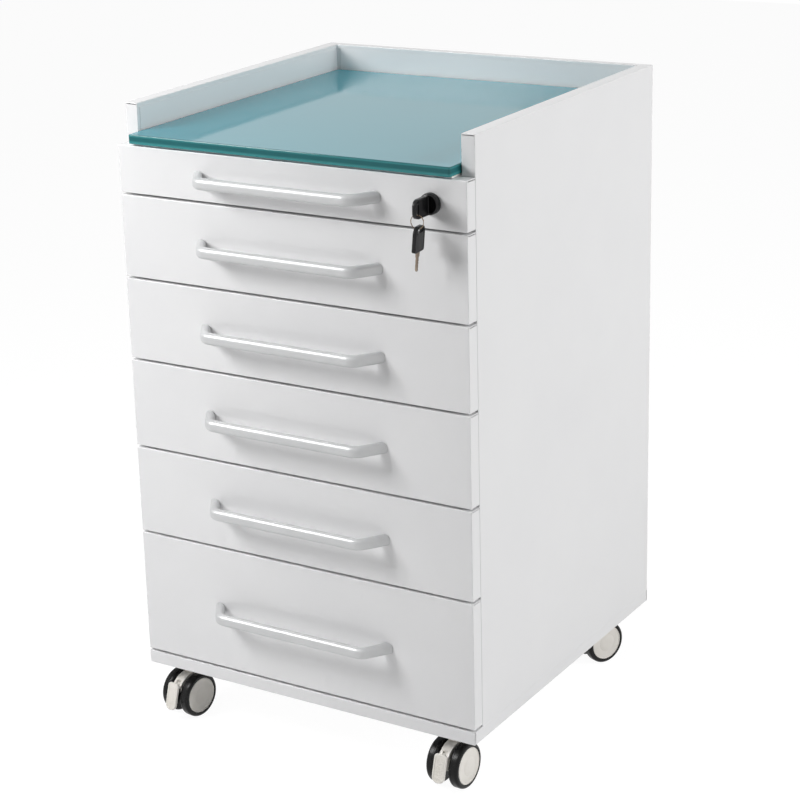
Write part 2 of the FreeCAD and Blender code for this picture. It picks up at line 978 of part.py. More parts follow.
def lock_pieces():
    """The lock on drawer 1 with its key and ring."""
    return {
        "lock_housing": lock_housing(),
        "lock_nut": lock_nut(),
        "lock_plug": lock_plug(),
        "lock_cam": lock_cam(),
        "key": key_in_lock(),
        "key_ring": key_ring(),
    }


def main():
    """Build every piece and write one file for each node."""
    os.makedirs("parts", exist_ok=True)
    pieces = {}
    pieces.update(cabinet_pieces())
    pieces.update(drawer_pieces())
    pieces.update(lock_pieces())
    pieces.update(caster_pieces())
    for name, shape in pieces.items():
        shape.exportStep("parts/%s.step" % name)
    print(len(pieces), "nodes, total height", total_height, "front plane", round(front_y, 3))
    return pieces


if __name__ == "__main__":
    main()
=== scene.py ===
"""The looks of a mobile dental cabinet, built round its fixed frame."""

import json
import logging
import math
from dataclasses import dataclass, field
from enum import Enum
from typing import Callable, Iterable

import bmesh
import bpy
from bmesh.types import BMEdge, BMesh, BMFace, BMVert
from bpy.types import Material, Node, NodeTree, Object
from mathutils import Matrix, Vector


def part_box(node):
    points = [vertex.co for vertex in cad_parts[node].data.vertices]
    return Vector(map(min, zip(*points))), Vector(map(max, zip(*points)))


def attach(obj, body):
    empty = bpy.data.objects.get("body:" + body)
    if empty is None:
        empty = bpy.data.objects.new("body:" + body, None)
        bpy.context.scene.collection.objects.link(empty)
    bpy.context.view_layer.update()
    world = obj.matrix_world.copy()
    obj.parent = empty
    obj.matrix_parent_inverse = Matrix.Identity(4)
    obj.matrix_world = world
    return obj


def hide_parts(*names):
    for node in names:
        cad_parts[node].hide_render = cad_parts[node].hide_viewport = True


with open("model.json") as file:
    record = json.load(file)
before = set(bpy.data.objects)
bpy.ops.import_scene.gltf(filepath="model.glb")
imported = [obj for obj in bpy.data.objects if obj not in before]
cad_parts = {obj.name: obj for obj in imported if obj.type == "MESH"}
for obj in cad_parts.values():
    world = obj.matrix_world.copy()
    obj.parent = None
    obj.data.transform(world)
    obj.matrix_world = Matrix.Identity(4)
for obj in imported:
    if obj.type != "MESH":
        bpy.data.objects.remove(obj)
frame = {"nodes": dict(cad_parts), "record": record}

MM = 0.001
LOG = logging.getLogger("cabinet")
DRAWERS = range(1, 7)

Colour = tuple[float, float, float]
Point = tuple[float, float]
Link = tuple[Node, int | str, Node, int | str]

WHITE = (1.0, 1.0, 1.0, 1.0)
X, Y, Z = Vector((1, 0, 0)), Vector((0, 1, 0)), Vector((0, 0, 1))


class Corner(Enum):
    """The four casters, with the angle that each has turned to, clockwise from above."""

    FRONT_LEFT = ("front_left", 8.0)
    FRONT_RIGHT = ("front_right", 3.0)
    REAR_LEFT = ("rear_left", -20.0)
    REAR_RIGHT = ("rear_right", 24.0)

    @property
    def label(self) -> str:
        """The corner's name as the nodes and bodies use it."""
        return self.value[0]

    @property
    def turn(self) -> float:
        """The swivel angle in radians, anticlockwise from above."""
        return -math.radians(self.value[1])

    @property
    def braked(self) -> bool:
        """True for the two front casters."""
        return self in (Corner.FRONT_LEFT, Corner.FRONT_RIGHT)


class Side(Enum):
    """The two sides of a caster, as directions along X."""

    LEFT = -1
    RIGHT = 1


def joint_place(name: str) -> Vector:
    """A point on the named joint's axis, in metres, from the record."""
    joints = frame["record"]["behaviour"]["joints"]
    return Vector(next(joint["pos_m"] for joint in joints if joint["name"] == name))


# Node trees


def set_inputs(node: Node, values: dict[int | str, object]) -> None:
    """Sets inputs of a node to plain values, each by the input's name or number."""
    for label, value in values.items():
        node.inputs[label].default_value = value


def join(tree: NodeTree, *links: Link) -> None:
    """Joins nodes of a tree, each link from a node's output to another node's input."""
    for source, output, target, entry in links:
        tree.links.new(source.outputs[output], target.inputs[entry])


def math_node(tree: NodeTree, operation: str) -> Node:
    """Adds a node that works out one number from two.

    Args:
        tree: the node tree.
        operation: what the node does with them.

    Returns:
        The node.
    """
    node = tree.nodes.new("ShaderNodeMath")
    node.operation = operation
    return node


def seen_rays(tree: NodeTree) -> Node:
    """Marks the rays that show a surface in the picture or in a reflection.

    Args:
        tree: the node tree of a material or of the surroundings.

    Returns:
        A node that gives 1 for camera, glossy and transmission rays, and 0 for others.
    """
    path = tree.nodes.new("ShaderNodeLightPath")
    first, both = math_node(tree, "MAXIMUM"), math_node(tree, "MAXIMUM")
    join(
        tree,
        (path, "Is Camera Ray", first, 0),
        (path, "Is Glossy Ray", first, 1),
        (first, 0, both, 0),
        (path, "Is Transmission Ray", both, 1),
    )
    return both


# Shared shader effects


def new_group(name: str, inputs: dict[str, float]) -> tuple[NodeTree, Node, Node]:
    """Starts a shader node group that works out one value from plain numbers.

    Args:
        name: the group's name.
        inputs: each input's name and default value.

    Returns:
        The group, its input node and its output node.
    """
    group = bpy.data.node_groups.new(name, "ShaderNodeTree")
    for label, value in inputs.items():
        socket = group.interface.new_socket(label, in_out="INPUT", socket_type="NodeSocketFloat")
        socket.default_value = value
    group.interface.new_socket("Value", in_out="OUTPUT", socket_type="NodeSocketFloat")
    return group, group.nodes.new("NodeGroupInput"), group.nodes.new("NodeGroupOutput")


def fine_texture_group() -> NodeTree:
    """Builds the fine bump of sprayed paint and moulded plastic.

    Returns:
        A group whose value is a soft noise round a half, at a given scale.
    """
    group, start, end = new_group("fine_texture", {"Scale": 900.0})
    place = group.nodes.new("ShaderNodeTexCoord")
    noise = group.nodes.new("ShaderNodeTexNoise")
    set_inputs(noise, {"Detail": 2.0})
    join(
        group,
        (place, "Object", noise, "Vector"),
        (start, "Scale", noise, "Scale"),
        (noise, "Fac", end, "Value"),
    )
    return group


def drawn_lines_group() -> NodeTree:
    """Builds the long fine lines that drawing or rolling leaves in metal along X.

    Returns:
        A group whose value is a noise stretched along X by a given factor.
    """
    group, start, end = new_group("drawn_lines", {"Scale": 1200.0, "Stretch": 0.02})
    place = group.nodes.new("ShaderNodeTexCoord")
    parts = group.nodes.new("ShaderNodeSeparateXYZ")
    shrink = math_node(group, "MULTIPLY")
    joined = group.nodes.new("ShaderNodeCombineXYZ")
    noise = group.nodes.new("ShaderNodeTexNoise")
    set_inputs(noise, {"Detail": 3.0})
    join(
        group,
        (place, "Object", parts, 0),
        (parts, "X", shrink, 0),
        (start, "Stretch", shrink, 1),
        (shrink, 0, joined, "X"),
        (parts, "Y", joined, "Y"),
        (parts, "Z", joined, "Z"),
        (joined, 0, noise, "Vector"),
        (start, "Scale", noise, "Scale"),
        (noise, "Fac", end, "Value"),
    )
    return group


def handling_group() -> NodeTree:
    """Builds the broad uneven gloss of a surface that has been wiped and handled.

    Returns:
        A group whose value runs from 0 to 1 in soft patches.
    """
    group, start, end = new_group("handling", {"Scale": 6.0})
    place = group.nodes.new("ShaderNodeTexCoord")
    noise = group.nodes.new("ShaderNodeTexNoise")
    set_inputs(noise, {"Detail": 4.0})
    spread = group.nodes.new("ShaderNodeMapRange")
    set_inputs(spread, {"From Min": 0.35, "From Max": 0.65})
    join(
        group,
        (place, "Object", noise, "Vector"),
        (start, "Scale", noise, "Scale"),
        (noise, "Fac", spread, "Value"),
        (spread, "Result", end, "Value"),
    )
    return group


GROUPS: dict[str, Callable[[], NodeTree]] = {
    "fine_texture": fine_texture_group,
    "drawn_lines": drawn_lines_group,
    "handling": handling_group,
}


def group_node(tree: NodeTree, name: str, scale: float) -> Node:
    """Places a shared effect in a material, building the effect the first time.

    Args:
        tree: the material's node tree.
        name: the effect's name in GROUPS.
        scale: the effect's scale.

    Returns:
        The group node.
    """
    node = tree.nodes.new("ShaderNodeGroup")
    node.node_tree = bpy.data.node_groups.get(name) or GROUPS[name]()
    set_inputs(node, {"Scale": scale})
    return node


@dataclass(frozen=True)
class Finish:
    """One surface finish: its colour, gloss and fine texture.

    The second colour is mixed in by soft patches, so that no surface is one flat colour.
    """

    name: str
    colour: Colour
    second: Colour
    roughness: float
    roughness_swing: float = 0.03
    metallic: float = 0.0
    coat: float = 0.0
    coat_roughness: float = 0.05
    specular: float = 0.5
    patch_scale: float = 6.0
    grain: str = "fine_texture"
    grain_scale: float = 900.0
    grain_depth: float = 0.01 * MM

    def material(self) -> Material:
        """The finish as a material, made the first time that it is asked for."""
        return bpy.data.materials.get(self.name) or self.build()

    def build(self) -> Material:
        """Builds the material's nodes.

        Returns:
            The new material.
        """
        made = bpy.data.materials.new(self.name)
        made.use_nodes = True
        tree = made.node_tree
        shader = tree.nodes["Principled BSDF"]
        set_inputs(shader, {
            "Metallic": self.metallic,
            "Coat Weight": self.coat,
            "Coat Roughness": self.coat_roughness,
            "Specular IOR Level": self.specular,
        })
        patches = group_node(tree, "handling", self.patch_scale)
        self.link_colour(tree, shader, patches)
        swing = tree.nodes.new("ShaderNodeMapRange")
        set_inputs(swing, {
            "To Min": self.roughness - self.roughness_swing,
            "To Max": self.roughness + self.roughness_swing,
        })
        grain = group_node(tree, self.grain, self.grain_scale)
        bump = tree.nodes.new("ShaderNodeBump")
        set_inputs(bump, {"Strength": 1.0, "Distance": self.grain_depth})
        join(
            tree,
            (patches, "Value", swing, "Value"),
            (swing, "Result", shader, "Roughness"),
            (grain, "Value", bump, "Height"),
            (bump, "Normal", shader, "Normal"),
        )
        return made

    def link_colour(self, tree: NodeTree, shader: Node, patches: Node) -> None:
        """Mixes the two colours by the patches.

        Args:
            tree: the material's node tree.
            shader: the shader that takes the colour.
            patches: the group node that gives the patches.
        """
        mix = tree.nodes.new("ShaderNodeMix")
        mix.data_type = "RGBA"
        set_inputs(mix, {"A": (*self.colour, 1.0), "B": (*self.second, 1.0)})
        join(tree, (patches, "Value", mix, "Factor"), (mix, "Result", shader, "Base Color"))


@dataclass(frozen=True)
class BandedFinish(Finish):
    """A finish whose colour changes with height, used for the painted highlight bands in the edge
    of thick glass.
    """

    low: float = 0.0
    high: float = 1.0
    stops: tuple[tuple[float, Colour], ...] = ()

    def link_colour(self, tree: NodeTree, shader: Node, patches: Node) -> None:
        """Reads the colour from the height above the floor.

        Args:
            tree: the material's node tree.
            shader: the shader that takes the colour.
            patches: the group node that gives the patches, unused here.
        """
        place = tree.nodes.new("ShaderNodeTexCoord")
        parts = tree.nodes.new("ShaderNodeSeparateXYZ")
        span = tree.nodes.new("ShaderNodeMapRange")
        set_inputs(span, {"From Min": self.low, "From Max": self.high})
        ramp = tree.nodes.new("ShaderNodeValToRGB")
        elements = ramp.color_ramp.elements
        while len(elements) < len(self.stops):
            elements.new(0.5)
        for element, (share, colour) in zip(elements, self.stops):
            element.position = share
            element.color = (*colour, 1.0)
        join(
            tree,
            (place, "Object", parts, 0),
            (parts, "Z", span, "Value"),
            (span, "Result", ramp, "Fac"),
            (ramp, "Color", shader, "Base Color"),
        )


WHITE_PAINT = Finish(
    "white_paint", (0.80, 0.80, 0.805), (0.78, 0.78, 0.788), 0.32,
    coat=0.5, coat_roughness=0.16, grain_scale=420.0, grain_depth=0.003 * MM,
)
TRAY_PAINT = Finish(
    "tray_paint", (0.72, 0.72, 0.71), (0.69, 0.69, 0.685), 0.45,
    grain_scale=500.0, grain_depth=0.006 * MM,
)
GLASS_FACE = Finish(
    "painted_glass", (0.05, 0.30, 0.37), (0.048, 0.29, 0.36), 0.05,
    roughness_swing=0.01, specular=0.25, grain_depth=0.0003 * MM,
)
SATIN_ALUMINIUM = Finish(
    "satin_aluminium", (0.60, 0.605, 0.61), (0.57, 0.575, 0.58), 0.4,
    metallic=0.35, patch_scale=30.0,
    grain="drawn_lines", grain_scale=1500.0, grain_depth=0.0004 * MM,
)
BLACK_PLASTIC = Finish(
    "lock_plastic", (0.0035, 0.0035, 0.004), (0.006, 0.006, 0.0065), 0.24,
    specular=0.28, patch_scale=60.0, grain_scale=1800.0, grain_depth=0.002 * MM,
)
KEY_NICKEL = Finish(
    "key_nickel", (0.33, 0.27, 0.21), (0.24, 0.19, 0.145), 0.32,
    metallic=1.0, patch_scale=90.0, grain_scale=2500.0, grain_depth=0.006 * MM,
)
RING_WIRE = Finish(
    "ring_wire", (0.30, 0.22, 0.15), (0.19, 0.135, 0.09), 0.28,
    metallic=1.0, patch_scale=120.0, grain_scale=2500.0, grain_depth=0.002 * MM,
)
TYRE_RUBBER = Finish(
    "tyre_rubber", (0.004, 0.004, 0.004), (0.008, 0.008, 0.008), 0.26,
    roughness_swing=0.08, specular=0.2, patch_scale=45.0,
    grain_scale=1500.0, grain_depth=0.01 * MM,
)
WHEEL_BODY = Finish(
    "wheel_body", (0.005, 0.005, 0.005), (0.009, 0.009, 0.009), 0.2,
    specular=0.22, patch_scale=60.0, grain_scale=1800.0, grain_depth=0.004 * MM,
)
IVORY_PLASTIC = Finish(
    "caster_plastic", (0.84, 0.81, 0.76), (0.80, 0.77, 0.715), 0.36,
    patch_scale=45.0, grain_scale=1600.0, grain_depth=0.006 * MM,
)
ZINC = Finish(
    "zinc_plate", (0.60, 0.61, 0.63), (0.50, 0.51, 0.54), 0.36,
    metallic=1.0, patch_scale=40.0,
    grain="drawn_lines", grain_scale=900.0, grain_depth=0.006 * MM,
)
SOFT_STRIP = Finish(
    "soft_strip", (0.72, 0.72, 0.62), (0.66, 0.66, 0.57), 0.6,
    grain_scale=1200.0, grain_depth=0.02 * MM,
)
# Black rings at the handle feet: painted contact shadow where each leg meets the drawer front.
PAINTED_FOOT_SHADOW = Finish(
    "painted_foot_shadow", (0.012, 0.012, 0.013), (0.02, 0.02, 0.02), 0.7,
    specular=0.2, grain_scale=1800.0,
)


# Mesh work

# Faces larger than this, in square metres, are shaded flat.
FLAT_FACE_AREA = 0.002
# Points nearer to each other than this are merged.
MERGE_DISTANCE = 0.002 * MM
# A face is square to an axis where its unit normal reaches this far along it.
SQUARE = 0.999
# The share of a full round that a corner takes, so that no edge is left without length.
FULL_ROUND_SHARE = 0.999


def only(kind: type, items: Iterable) -> list:
    """The items of one kind in an operator's result, such as its faces."""
    return [item for item in items if isinstance(item, kind)]


def unique(items: Iterable) -> list:
    """The items in their order, each of them once."""
    return list(dict.fromkeys(items))


def rise(edge: BMEdge) -> float:
    """How much higher one end of an edge is than the other."""
    return abs(edge.verts[0].co.z - edge.verts[1].co.z)


def bevel(bm: BMesh, parts: Iterable, width: float, segments: int, affect: str = "EDGES") -> None:
    """Rounds edges or corners of a mesh in place.

    Args:
        bm: the mesh.
        parts: the edges or corners to round.
        width: the radius of the round, in metres.
        segments: how many facets the round has.
        affect: EDGES, or VERTICES for corners.
    """
    bmesh.ops.bevel(
        bm, geom=list(parts), offset=width, offset_type="OFFSET", segments=segments,
        profile=0.5, affect=affect, material=-1, clamp_overlap=affect == "EDGES",
    )


def block(bm: BMesh, place: Matrix, size: Vector) -> list:
    """Adds a box of three sizes, with its middle and axes at a place, and gives its vertices."""
    matrix = place @ Matrix.Diagonal((*size, 1.0))
    return bmesh.ops.create_cube(bm, size=1.0, matrix=matrix)["verts"]


def flat_face(bm: BMesh, points: Iterable) -> BMFace:
    """Adds one flat face through points in their order."""
    return bm.faces.new([bm.verts.new(point) for point in points])


def rounded_face(bm: BMesh, points: list[Vector], radii: list[float], segments: int) -> BMFace:
    """Adds one flat face whose corners are rounded.

    Args:
        bm: the mesh.
        points: the corners, in order.
        radii: how far each corner is cut back along its edges, in metres.
        segments: how many facets each round has.

    Returns:
        The face.
    """
    before = set(bm.faces)
    verts = list(flat_face(bm, points).verts)
    for vert, radius in zip(verts, radii):
        bevel(bm, [vert], radius, segments, "VERTICES")
    return next(face for face in bm.faces if face not in before)


def thicken(bm: BMesh, faces: Iterable, depth: Vector) -> None:
    """Extrudes flat faces into a closed solid, as far and in the direction that depth gives."""
    made = bmesh.ops.extrude_face_region(bm, geom=list(faces))["geom"]
    bmesh.ops.translate(bm, verts=only(BMVert, made), vec=depth)


def extend_rim(bm: BMesh, rim: list, along: Vector) -> list:
    """Carries an open tube straight on.

    Args:
        bm: the mesh.
        rim: the edges of the tube's open end.
        along: how far and which way.

    Returns:
        The edges of the new open end.
    """
    made = bmesh.ops.extrude_edge_only(bm, edges=rim)["geom"]
    verts = only(BMVert, made)
    bmesh.ops.translate(bm, verts=verts, vec=along)
    moved = set(verts)
    return [edge for edge in only(BMEdge, made) if moved.issuperset(edge.verts)]


def sharp_edges(faces: Iterable, angle: float = 60.0) -> list:
    """Finds the edges where two faces meet at a corner.

    Args:
        faces: the faces whose edges are looked at.
        angle: how far such an edge turns at the least, in degrees.

    Returns:
        The edges.
    """
    limit = math.radians(angle)
    edges = unique(edge for face in faces for edge in face.edges)
    return [e for e in edges if len(e.link_faces) == 2 and e.calc_face_angle(0.0) > limit]


def spin_profile(
    bm: BMesh, profile: list[Point], axis_point: Vector, axis: Vector, start: Vector, steps: int
) -> list:
    """Turns an open profile all the way round an axis.

    Args:
        bm: the mesh.
        profile: (distance from the axis, distance along it) pairs in metres.
        axis_point: where the distances along the axis start.
        axis: the direction of the axis.
        start: the direction, square to the axis, that the profile is drawn in.
        steps: how many facets the turn has.

    Returns:
        The new faces.
    """
    before = set(bm.faces)
    verts = [bm.verts.new(axis_point + start * r + axis * a) for r, a in profile]
    edges = [bm.edges.new(pair) for pair in zip(verts, verts[1:])]
    bmesh.ops.spin(
        bm, geom=verts + edges, cent=axis_point, axis=axis, angle=2 * math.pi,
        steps=steps, use_merge=True, use_duplicate=False,
    )
    return [face for face in bm.faces if face not in before]


def arc_points(centre: Point, radius: float, start: float, end: float, count: int) -> list[Point]:
    """Works out points along an arc in a profile's plane.

    Args:
        centre: the middle of the arc.
        radius: its radius.
        start: the angle of its first point, in degrees.
        end: the angle of its last point, in degrees.
        count: how many facets it has.

    Returns:
        The points.
    """
    points = []
    for index in range(count + 1):
        angle = math.radians(start + (end - start) * index / count)
        points.append((centre[0] + radius * math.cos(angle), centre[1] + radius * math.sin(angle)))
    return points


def make_piece(
    bm: BMesh, name: str, materials: list[Material], sharp_angle: float = 35.0
) -> Object:
    """Turns a finished bmesh into an object at the origin.

    Args:
        bm: the mesh, in the frame's own place; it is freed.
        name: the object's name.
        materials: the materials of the faces, by index.
        sharp_angle: edges that turn by more than this, in degrees, stay sharp.

    Returns:
        The new object.
    """
    bmesh.ops.remove_doubles(bm, verts=bm.verts, dist=MERGE_DISTANCE)
    bmesh.ops.recalc_face_normals(bm, faces=bm.faces)
    mesh = bpy.data.meshes.new(name)
    bm.to_mesh(mesh)
    bm.free()
    for material in materials:
        mesh.materials.append(material)
    mesh.shade_smooth()
    mesh.set_sharp_from_angle(angle=math.radians(sharp_angle))
    for polygon in mesh.polygons:
        if polygon.area > FLAT_FACE_AREA:
            polygon.use_smooth = False
    made = bpy.data.objects.new(name, mesh)
    bpy.context.scene.collection.objects.link(made)
    return made


def seat_piece(made: Object, body: str, stands_for: tuple[str, ...] = ()) -> None:
    """Ties a piece to its body and the nodes it stands for.

    Args:
        made: the piece.
        body: the body that it moves with.
        stands_for: the CAD nodes that it replaces.
    """
    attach(made, body)
    if stands_for:
        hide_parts(*stands_for)
    LOG.info("%s: %d faces on %s", made.name, len(made.data.polygons), body)


def dress(node: str, finish: Finish) -> None:
    """Gives a CAD node one of the finishes.

    Args:
        node: the node's name.
        finish: the finish for all its faces.
    """
    mesh = frame["nodes"][node].data
    for index in range(len(mesh.materials)):
        mesh.materials[index] = finish.material()
    LOG.info("%s: dressed in %s", node, finish.name)


# The cabinet


@dataclass
class Carcass:
    """The painted sheet-metal body with its runners, plates and screws."""

    painted: tuple[str, ...] = (
        "base_pan", "side_panel_left", "side_panel_right", "back_panel", "top_deck",
    )
    plated: tuple[str, ...] = ("outer_runners", "caster_plates", "caster_screws")

    def build(self) -> None:
        """Dresses the body's nodes."""
        for node in self.painted:
            dress(node, WHITE_PAINT)
        for node in self.plated:
            dress(node, ZINC)
        dress("glass_strips", SOFT_STRIP)


@dataclass
class GlassTop:
    """The thick back-painted glass with rounded corners and ground edges."""

    corner_radius: float = 3.0 * MM
    corner_steps: int = 6
    arris: float = 1.2 * MM
    arris_steps: int = 2
    # The edge's own deep teal, and the lighter teal of the painted highlight bands in the edge.
    edge_dark: Colour = (0.006, 0.115, 0.125)
    painted_edge_highlight: Colour = (0.035, 0.235, 0.245)

    def edge_finish(self, low: float, high: float) -> BandedFinish:
        """The colours of the edge: bands of painted highlight over the edge's own deep teal.

        Args:
            low: the height of the underside.
            high: the height of the top face.

        Returns:
            The finish, in bands of painted highlight and of deep teal.
        """
        return BandedFinish(
            "glass_edge_painted_highlights", self.edge_dark, self.painted_edge_highlight, 0.12,
            specular=0.3, low=low, high=high,
            # The light bands are painted highlights, the lines of light in the glass edge; the
            # dark bands are the edge's own teal.
            stops=(
                (0.0, self.painted_edge_highlight),
                (0.22, self.painted_edge_highlight),
                (0.40, self.edge_dark),
                (0.72, self.edge_dark),
                (0.86, self.painted_edge_highlight),
                (1.0, self.edge_dark),
            ),
        )

    def build(self) -> None:
        """Builds the glass in the place of its CAD solid."""
        low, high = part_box("glass_top")
        bm = bmesh.new()
        block(bm, Matrix.Translation((low + high) / 2), high - low)
        upright = [edge for edge in bm.edges if rise(edge) > self.arris]
        bevel(bm, upright, self.corner_radius, self.corner_steps)
        level = [edge for edge in bm.edges if rise(edge) < self.arris]
        bevel(bm, level, self.arris, self.arris_steps)
        for face in bm.faces:
            face.material_index = 0 if abs(face.normal.z) > SQUARE else 1
        finishes = [GLASS_FACE.material(), self.edge_finish(low.z, high.z).material()]
        made = make_piece(bm, "glass_sheet", finishes)
        seat_piece(made, "cabinet", ("glass_top",))


@dataclass
class Handle:
    """A bow handle: an oval bar that bends back to two feet on a drawer front."""

    number: int
    foot_spacing: float = 256.0 * MM
    slope_run: float = 20.0 * MM
    projection: float = 30.0 * MM
    bend: float = 14.0 * MM
    bend_steps: int = 14
    thickness: float = 12.0 * MM
    height: float = 15.0 * MM
    corner: float = 5.4 * MM
    corner_steps: int = 6
    buried: float = 12.0 * MM
    # The thickness and inset of the black ring at each foot, a painted contact shadow.
    shadow_ring: float = 0.45 * MM
    shadow_ring_inset: float = 0.5 * MM
    sharp_angle: float = 40.0

    def turn_rim(self, bm: BMesh, rim: list, centre: Vector, angle: float) -> list:
        """Carries the bar round a bend.

        Args:
            bm: the mesh.
            rim: the edges of the bar's open end.
            centre: a point on the upright axis of the bend.
            angle: the angle of the bend, anticlockwise from above.

        Returns:
            The edges of the new open end.
        """
        verts = unique(vert for edge in rim for vert in edge.verts)
        made = bmesh.ops.spin(
            bm, geom=verts + rim, cent=centre, axis=Z, angle=angle,
            steps=self.bend_steps, use_merge=False, use_duplicate=False,
        )["geom_last"]
        return only(BMEdge, made)

    def sweep_bar(self, bm: BMesh, middle: Vector) -> None:
        """Sweeps the oval bar along its bow, with both ends inside the drawer front.

        Args:
            bm: the mesh.
            middle: the point of the drawer front halfway between the feet.
        """
        slope = Vector((self.slope_run, -self.projection, 0.0))
        inward = slope.normalized()
        outward = Vector((inward.x, -inward.y, 0.0))
        across = Vector((-inward.y, inward.x, 0.0))
        angle = math.atan2(self.projection, self.slope_run)
        reach = self.bend * math.tan(angle / 2)
        straight = slope.length - reach
        foot = middle - X * (self.foot_spacing / 2)
        start = foot - inward * self.buried
        side, up = across * (self.thickness / 2), Z * (self.height / 2)
        section = rounded_face(
            bm, [start + side + up, start - side + up, start - side - up, start + side - up],
            [self.corner] * 4, self.corner_steps,
        )
        rim = list(section.edges)
        bmesh.ops.delete(bm, geom=[section], context="FACES_ONLY")
        rim = extend_rim(bm, rim, inward * (self.buried + straight))
        rim = self.turn_rim(bm, rim, foot + inward * straight + across * self.bend, angle)
        bar = self.foot_spacing - 2 * (self.slope_run + reach)
        rim = extend_rim(bm, rim, X * bar)
        centre = middle + Vector((bar / 2, self.bend - self.projection, 0.0))
        rim = self.turn_rim(bm, rim, centre, angle)
        extend_rim(bm, rim, outward * (straight + self.buried))

    def close_feet(self, bm: BMesh, front: float) -> None:
        """Cuts the bar off just before the drawer front and adds the black rings of painted
        contact shadow at the feet.

        Args:
            bm: the mesh.
            front: the Y of the drawer front.
        """
        cut = bmesh.ops.bisect_plane(
            bm, geom=[*bm.verts, *bm.edges, *bm.faces], plane_co=Y * (front - self.shadow_ring),
            plane_no=Y, clear_outer=True, clear_inner=False,
        )["geom_cut"]
        rims = only(BMEdge, cut)
        feet = bmesh.ops.holes_fill(bm, edges=rims, sides=0)["faces"]
        bmesh.ops.recalc_face_normals(bm, faces=bm.faces)
        # Each foot end becomes a black ring of painted contact shadow.
        for foot in feet:
            bmesh.ops.inset_region(bm, faces=[foot], thickness=self.shadow_ring_inset, depth=0.0)
            walls = bmesh.ops.inset_region(bm, faces=[foot], thickness=0.0, depth=self.shadow_ring)
            for face in [*walls["faces"], foot]:
                face.material_index = 1

    def build(self) -> None:
        """Builds the handle in the place of its CAD solid."""
        node = f"drawer_{self.number}_handle"
        low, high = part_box(node)
        bm = bmesh.new()
        self.sweep_bar(bm, Vector((0.0, high.y, (low.z + high.z) / 2)))
        self.close_feet(bm, high.y)
        finishes = [SATIN_ALUMINIUM.material(), PAINTED_FOOT_SHADOW.material()]
        made = make_piece(bm, f"bow_handle_{self.number}", finishes, self.sharp_angle)
        seat_piece(made, f"drawer_{self.number}", (node,))


@dataclass
class Drawer:
    """One drawer: its front, tray, runners and handle."""

    number: int

    def build(self) -> None:
        """Dresses the drawer's nodes and builds its handle."""
        name = f"drawer_{self.number}_"
        dress(name + "front", WHITE_PAINT)
        dress(name + "tray", TRAY_PAINT)
        dress(name + "inner_runners", ZINC)
        dress(name + "middle_runners", ZINC)
        Handle(self.number).build()


@dataclass
class LockBody:
    """The black rosette and the round body of the cam lock."""

    rosette: float = 13.0 * MM
    height: float = 7.0 * MM
    edge: float = 2.6 * MM
    edge_steps: int = 10
    dish: float = 0.35 * MM
    bore: float = 5.6 * MM
    body: float = 8.0 * MM
    steps: int = 72

    def build(self) -> None:
        """Builds the lock body in the place of its CAD solid."""
        low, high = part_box("lock_housing")
        front = low.y + self.height
        depth = front - high.y
        centre = Vector(((low.x + high.x) / 2, front, (low.z + high.z) / 2))
        face = self.height - self.dish
        profile = [
            (self.body, depth),
            (self.body, 0.0),
            (self.rosette, 0.0),
            *arc_points(
                (self.rosette - self.edge, self.height - self.edge),
                self.edge, 0.0, 90.0, self.edge_steps,
            ),
            (self.rosette - self.edge - 2 * self.dish, face),
            (self.bore + 2 * self.dish, face),
            (self.bore, face - 2 * self.dish),
            (self.bore, depth),
            (self.body, depth),
        ]
        bm = bmesh.new()
        spin_profile(bm, profile, centre, -Y, X, self.steps)
        made = make_piece(bm, "lock_rosette", [BLACK_PLASTIC.material()])
        seat_piece(made, "drawer_1", ("lock_housing",))


